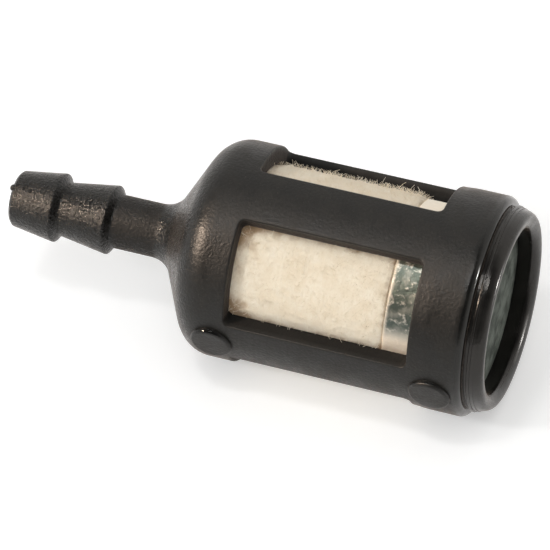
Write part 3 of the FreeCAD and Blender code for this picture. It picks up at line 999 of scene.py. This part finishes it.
class FILTER_OT_weight(bpy.types.Operator):
    """Plated steel slug with bevelled edges and a slightly uneven skin"""
    bl_idname = "filter.weight"
    bl_label = "Weight"

    def execute(self, context):
        settings = context.scene.filter_weight
        bevel = settings.bevel
        hole = CORE_RADIUS + CORE_CLEARANCE
        hole_end = CORE_END + 0.1 * MM
        face = SLUG_END + settings.face_step
        outline = rounded([
            (hole_end, 0, 0),
            (hole_end, hole, 0.05 * MM),
            (SLUG_START, hole, 0.05 * MM),
            (SLUG_START, SLUG_RADIUS - bevel, 0.1 * MM),
            (SLUG_START + bevel, SLUG_RADIUS, 0.1 * MM),
            (face - bevel, SLUG_RADIUS, 0.1 * MM),
            (face, SLUG_RADIUS - bevel, 0.1 * MM),
            (face, 0, 0),
        ], steps=4)
        shell = Shell()
        shell.lathe(divided(outline, 0.35 * MM), closed_ring(144))
        piece = shell.finish("slug", sharp=50)
        dent = 0.018 * MM
        push(piece, lambda co: -dent * abs(noise.noise(co * (0.6 / MM)) + 0.5 * noise.noise(co * (1.7 / MM))))
        dress(piece, "weight", plated_steel(settings))
        return {"FINISHED"}


def woven_path(steps, lift, phase):
    """Offsets of a thread that passes over and under its neighbours."""
    return lift * np.cos(np.arange(steps + 1) * math.pi / 2 + phase)


def tube_rows(path, across, up, radius, sides=5):
    """Rows of points round each point of a path, with two directions across it.

    A path that doesn't meet itself has its ends closed.
    """
    turns = closed_ring(sides)
    ring = (np.cos(turns)[None, :, None] * across[:, None, :]
            + np.sin(turns)[None, :, None] * up[:, None, :])
    rows = path[:, None, :] + radius * ring
    if np.linalg.norm(path[0] - path[-1]) < radius:
        return rows
    caps = path[[0, -1], None, :].repeat(sides, 1)
    return np.concatenate([caps[:1], rows, caps[1:]])


class FILTER_OT_core(bpy.types.Operator):
    """Material of the support core, and the woven screen round it"""
    bl_idname = "filter.core"
    bl_label = "Core and screen"

    def execute(self, context):
        settings = context.scene.filter_core
        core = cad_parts["support_core"]
        core.data.materials.clear()
        core.data.materials.append(core_nylon(settings))
        half_depth = 0.125 * MM
        middle = SCREEN_RADIUS - half_depth
        thread = settings.thread / 2
        lift = thread * 0.55
        first, last = SCREEN_START + thread, SCREEN_END - thread
        bars = int(math.tau * middle / settings.pitch) // 2 * 2
        hoops = int((SCREEN_END - SCREEN_START) / settings.pitch)
        stations = np.linspace(first, last, hoops * 2 + 1)
        turns = math.tau * np.arange(bars * 2 + 1) / (bars * 2)
        shell = Shell()
        for bar in range(bars):
            a = math.tau * bar / bars
            path = around(stations, middle + woven_path(hoops * 2, lift, math.pi * bar), a)
            out = around(0.0, 1.0, a)[None, :].repeat(len(path), 0)
            shell.strip(tube_rows(path, np.cross(out, (1.0, 0, 0)), out, thread))
        for hoop in range(hoops + 1):
            x = first + (last - first) * hoop / hoops
            path = around(x, middle - woven_path(bars * 2, lift, math.pi * hoop), turns)
            along = np.tile((1.0, 0, 0), (len(path), 1))
            shell.strip(tube_rows(path, along, around(0.0, 1.0, turns), thread))
        piece = shell.finish("screen_mesh", sharp=80)
        dress(piece, "core_screen", thread_nylon(settings))
        return {"FINISHED"}


# ---------------------------------------------------------------- stage

AIM_STATION = 20.6 * MM
AIM_RIGHT, AIM_DOWN = 1.038 * MM, 1.620 * MM
FLOOR_RADIUS, FLOOR_GAP, FLOOR_GLOW = 3.0, 0.1 * MM, 0.35
ROOM_LIGHT, ROOM_TINT = 0.5, (1.0, 0.985, 0.96)
DARK_SIDE = (-0.02, -0.66, 0.75)    # where gloss sees the room at its darkest
WHITE = (1.0, 1.0, 1.0)
LAMPS = (   # name, azimuth and elevation in degrees, distance, size, watts, tint, what it gives
    ("key", -44, 35, 0.40, 0.05, 0.35, WHITE, "light"),
    ("key_glint", -52, 33, 0.40, 0.04, 2.1, (1.0, 0.80, 0.64), "glints"),
    ("top", -21, 69, 0.45, 0.05, 0.2, WHITE, "light"),
    ("top_glint", -21, 69, 0.45, 0.04, 0.7, WHITE, "glints"),
    ("side_glint", 103, 4, 0.40, 0.02, 0.6, WHITE, "glints"),
    ("soft", 5, 55, 0.50, 0.40, 0.65, WHITE, "light"),
)


def heading(azimuth, elevation):
    """Away from the filter, at an azimuth from the front (-Y) and an elevation."""
    return Vector((math.sin(azimuth) * math.cos(elevation), -math.cos(azimuth) * math.cos(elevation),
                   math.sin(elevation)))


def soft_lamp(name, azimuth, elevation, distance, size, watts, tint, gives):
    """Square lamp aimed at the filter, which gives it either plain light or glints."""
    low, high = CAD_BOX
    toward = heading(math.radians(azimuth), math.radians(elevation))
    light = bpy.data.lights.new(name, "AREA")
    light.shape = "SQUARE"
    light.size = size
    light.energy = watts
    light.color = tint
    lamp = linked(name, light)
    lamp.location = (low + high) / 2 + toward * distance
    lamp.rotation_mode = "QUATERNION"
    lamp.rotation_quaternion = toward.to_track_quat("Z", "Y")
    lamp.visible_diffuse = gives == "light"
    lamp.visible_glossy = gives == "glints"


def lay_floor(settings):
    """Pale floor that glows a little for the camera and in gloss, and keeps the filter's shadow."""
    mesh = bpy.data.meshes.new("floor")
    form = bmesh.new()
    bmesh.ops.create_circle(form, cap_ends=True, segments=64, radius=FLOOR_RADIUS)
    bmesh.ops.translate(form, verts=form.verts, vec=(0, 0, -CAGE_RADIUS - FLOOR_GAP))
    form.to_mesh(mesh)
    form.free()
    material = bpy.data.materials.new("paper")
    material.use_nodes = True
    graph = Graph(material.node_tree)
    rays = graph.add("ShaderNodeLightPath").outputs
    seen = graph.larger(graph.larger(rays["Is Camera Ray"], rays["Is Glossy Ray"]), rays["Is Transmission Ray"])
    matt = graph.add("ShaderNodeBsdfDiffuse", {"Color": (*settings.paper, 1.0)}).outputs[0]
    glow = graph.add("ShaderNodeEmission", {
        "Color": (1, 1, 1, 1), "Strength": graph.times(seen, FLOOR_GLOW)}).outputs[0]
    both = graph.add("ShaderNodeAddShader", {0: matt, 1: glow}).outputs[0]
    graph.add("ShaderNodeOutputMaterial", {"Surface": both})
    mesh.materials.append(material)
    linked("floor", mesh)


def light_room():
    """White room for the camera, even warm light on the filter, and a darker side in its gloss."""
    world = bpy.data.worlds.new("studio")
    world.use_nodes = True
    graph = Graph(world.node_tree)
    toward = graph.add("ShaderNodeTexCoord").outputs["Generated"]
    facing = graph.add("ShaderNodeVectorMath", {0: toward, 1: DARK_SIDE},
                       operation="DOT_PRODUCT").outputs["Value"]
    rays = graph.add("ShaderNodeLightPath").outputs
    sent_on = graph.larger(rays["Is Glossy Ray"], rays["Is Transmission Ray"])
    strength = graph.plus(graph.times(sent_on, graph.eased(facing, 0.2, 0.9, 1.0, 0.12)),
                          graph.times(graph.minus(1.0, sent_on), ROOM_LIGHT))
    room = graph.add("ShaderNodeBackground", {"Color": (*ROOM_TINT, 1.0), "Strength": strength}).outputs[0]
    white = graph.add("ShaderNodeBackground", {"Color": (1, 1, 1, 1), "Strength": 1.0}).outputs[0]
    mixed = graph.add("ShaderNodeMixShader", {0: rays["Is Camera Ray"], 1: room, 2: white}).outputs[0]
    graph.add("ShaderNodeOutputWorld", {"Surface": mixed})
    bpy.context.scene.world = world


def aim_camera(settings):
    """Camera that looks a little right of and below a station on the axis."""
    back = heading(settings.azimuth, settings.elevation)
    right = Vector((math.cos(settings.azimuth), math.sin(settings.azimuth), 0))
    up = back.cross(right)
    look_at = Vector((AIM_STATION, 0, 0)) + right * AIM_RIGHT - up * AIM_DOWN
    lens = bpy.data.cameras.new("camera")
    lens.sensor_width = 36.0
    lens.lens = settings.lens
    lens.clip_start, lens.clip_end = 0.01, 20.0
    camera = linked("camera", lens)
    camera.matrix_world = Matrix.Translation(look_at + back * settings.distance) @ Matrix(
        (right, up, back)).transposed().to_4x4()
    bpy.context.scene.camera = camera


class FILTER_OT_stage(bpy.types.Operator):
    """Pale floor, soft light and the camera"""
    bl_idname = "filter.stage"
    bl_label = "Stage"

    def execute(self, context):
        settings = context.scene.filter_stage
        lay_floor(settings)
        light_room()
        for lamp in LAMPS:
            soft_lamp(*lamp)
        aim_camera(settings)
        context.scene.view_settings.view_transform = "Standard"
        return {"FINISHED"}


# ---------------------------------------------------------------- panel and registration

OPERATORS = (FILTER_OT_housing, FILTER_OT_end_ring, FILTER_OT_felt, FILTER_OT_weight,
             FILTER_OT_core, FILTER_OT_stage)
SETTINGS = (("filter_housing", HousingSettings), ("filter_ring", RingSettings), ("filter_felt", FeltSettings),
            ("filter_weight", WeightSettings), ("filter_core", CoreSettings), ("filter_stage", StageSettings))


class FILTER_PT_sidebar(bpy.types.Panel):
    """Operators and settings of the filter"""
    bl_idname = "FILTER_PT_sidebar"
    bl_label = "Felt pick-up filter"
    bl_space_type = "VIEW_3D"
    bl_region_type = "UI"
    bl_category = "Filter"

    def draw(self, context):
        for operator in OPERATORS:
            self.layout.operator(operator.bl_idname)
        for name, group in SETTINGS:
            column = self.layout.column(heading=group.__doc__)
            for key in group.__annotations__:
                column.prop(getattr(context.scene, name), key)


def register():
    for group in (*(group for _, group in SETTINGS), *OPERATORS, FILTER_PT_sidebar):
        bpy.utils.register_class(group)
    for name, group in SETTINGS:
        setattr(bpy.types.Scene, name, PointerProperty(type=group))


def unregister():
    for name, _ in SETTINGS:
        delattr(bpy.types.Scene, name)
    for group in (FILTER_PT_sidebar, *OPERATORS, *(group for _, group in SETTINGS)):
        bpy.utils.unregister_class(group)


def main():
    register()
    bpy.ops.filter.housing()
    bpy.ops.filter.end_ring()
    bpy.ops.filter.felt()
    bpy.ops.filter.weight()
    bpy.ops.filter.core()
    bpy.ops.filter.stage()


if __name__ == "__main__":
    main()
